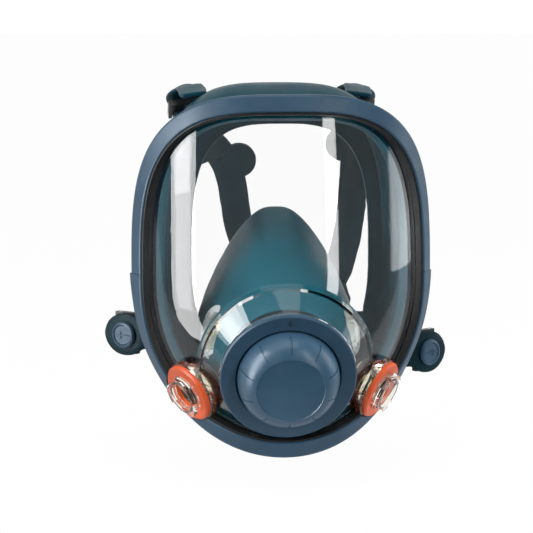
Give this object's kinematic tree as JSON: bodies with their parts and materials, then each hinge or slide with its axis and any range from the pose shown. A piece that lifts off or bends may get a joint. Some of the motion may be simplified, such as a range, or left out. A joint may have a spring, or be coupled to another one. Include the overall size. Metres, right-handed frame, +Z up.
{
  "type": "full face respirator",
  "caption": "Full face respirator with clear visor, two-part frame, rubber face seal, nose cup, front valve unit, side filter ports and head harness.",
  "frame": {"origin": "middle of the face seal's rim plane, level with the widest part of the window, 0.104 m above the chin of the seal", "axes": "+X to the right seen from the front, -Y out of the front of the mask, +Z up"},
  "size_m": [0.2151, 0.2052, 0.2239],
  "materials": {
    "slate_plastic": "satin moulded blue-grey plastic",
    "clear_lens": "clear polished polycarbonate",
    "black_rubber": "matt black rubber",
    "green_silicone": "satin dark green silicone",
    "teal_silicone": "satin teal silicone",
    "orange_rubber": "satin orange silicone",
    "dark_plastic": "moulded dark grey plastic",
    "pale_plastic": "translucent white plastic",
    "cream_silicone": "thin cream silicone",
    "amber_film": "thin amber plastic film",
    "steel": "bright stainless steel",
    "strap_rubber": "matt dark teal rubber"
  },
  "bodies": {
    "mask": {"crown_pad": "strap_rubber", "exhale_housing": "slate_plastic", "exhale_housing_gasket": "black_rubber", "exhale_lock_nut": "dark_plastic", "exhale_valve_plate": "dark_plastic", "face_seal_brow": "green_silicone", "face_seal_chin": "green_silicone", "face_seal_left_cheek": "green_silicone", "face_seal_left_jaw": "green_silicone", "face_seal_left_temple": "green_silicone", "face_seal_right_cheek": "green_silicone", "face_seal_right_jaw": "green_silicone", "face_seal_right_temple": "green_silicone", "frame_nuts": "steel", "frame_screws": "steel", "left_cup_valve_seat": "pale_plastic", "left_inlet_backing_ring": "dark_plastic", "left_inlet_collar": "clear_lens", "left_inlet_fitting": "clear_lens", "left_inlet_gasket": "orange_rubber", "lower_frame": "slate_plastic", "lower_left_buckle": "dark_plastic", "lower_left_strap": "strap_rubber", "lower_left_stud": "slate_plastic", "lower_right_buckle": "dark_plastic", "lower_right_strap": "strap_rubber", "lower_right_stud": "slate_plastic", "nose_cup": "teal_silicone", "right_cup_valve_seat": "pale_plastic", "right_inlet_backing_ring": "dark_plastic", "right_inlet_collar": "clear_lens", "right_inlet_fitting": "clear_lens", "right_inlet_gasket": "orange_rubber", "speech_diaphragm": "amber_film", "speech_ring": "dark_plastic", "upper_frame": "slate_plastic", "upper_left_buckle": "dark_plastic", "upper_left_strap": "strap_rubber", "upper_left_stud": "slate_plastic", "upper_right_buckle": "dark_plastic", "upper_right_strap": "strap_rubber", "upper_right_stud": "slate_plastic", "visor": "clear_lens", "visor_gasket": "black_rubber"},
    "cap": {"exhale_cap": "slate_plastic"},
    "exhale_flap": {"exhale_valve": "cream_silicone"},
    "left_inlet_flap": {"left_inlet_valve": "cream_silicone"},
    "left_cup_flap": {"left_cup_valve": "cream_silicone"},
    "right_inlet_flap": {"right_inlet_valve": "cream_silicone"},
    "right_cup_flap": {"right_cup_valve": "cream_silicone"},
    "upper_left_roller_body": {"upper_left_roller": "steel"},
    "upper_right_roller_body": {"upper_right_roller": "steel"},
    "lower_left_roller_body": {"lower_left_roller": "steel"},
    "lower_right_roller_body": {"lower_right_roller": "steel"}
  },
  "joints": [
    {"name": "cap_turn", "type": "hinge", "parent": "mask", "child": "cap", "pos_m": [0, -0.108, -0.0538], "axis": [0, -0.9563, -0.2924], "range_deg": [0, 36]},
    {"name": "exhale_flap_lift", "type": "slide", "parent": "mask", "child": "exhale_flap", "axis": [0, -0.9563, -0.2924], "range_m": [0, 0.0012], "stiffness_N_per_m": 120},
    {"name": "left_inlet_flap_lift", "type": "slide", "parent": "mask", "child": "left_inlet_flap", "axis": [0.772, 0.5013, 0.3907], "range_m": [0, 0.0012], "stiffness_N_per_m": 120},
    {"name": "left_cup_flap_lift", "type": "slide", "parent": "mask", "child": "left_cup_flap", "axis": [0.8941, 0.4075, -0.1857], "range_m": [0, 0.0012], "stiffness_N_per_m": 120},
    {"name": "right_inlet_flap_lift", "type": "slide", "parent": "mask", "child": "right_inlet_flap", "axis": [-0.772, 0.5013, 0.3907], "range_m": [0, 0.0012], "stiffness_N_per_m": 120},
    {"name": "right_cup_flap_lift", "type": "slide", "parent": "mask", "child": "right_cup_flap", "axis": [-0.8941, 0.4075, -0.1857], "range_m": [0, 0.0012], "stiffness_N_per_m": 120},
    {"name": "upper_left_roller_spin", "type": "hinge", "parent": "mask", "child": "upper_left_roller_body", "pos_m": [-0.0538, 0.02041, 0.098], "axis": [0.9848, 0.097, 0.1439], "continuous": true},
    {"name": "upper_right_roller_spin", "type": "hinge", "parent": "mask", "child": "upper_right_roller_body", "pos_m": [0.0538, 0.02041, 0.098], "axis": [0.9848, -0.097, -0.1439], "continuous": true},
    {"name": "lower_left_roller_spin", "type": "hinge", "parent": "mask", "child": "lower_left_roller_body", "pos_m": [-0.09898, -0.0233, -0.039], "axis": [0, 0, 1], "continuous": true},
    {"name": "lower_right_roller_spin", "type": "hinge", "parent": "mask", "child": "lower_right_roller_body", "pos_m": [0.09898, -0.0233, -0.053], "axis": [0, 0, -1], "continuous": true}
  ]
}
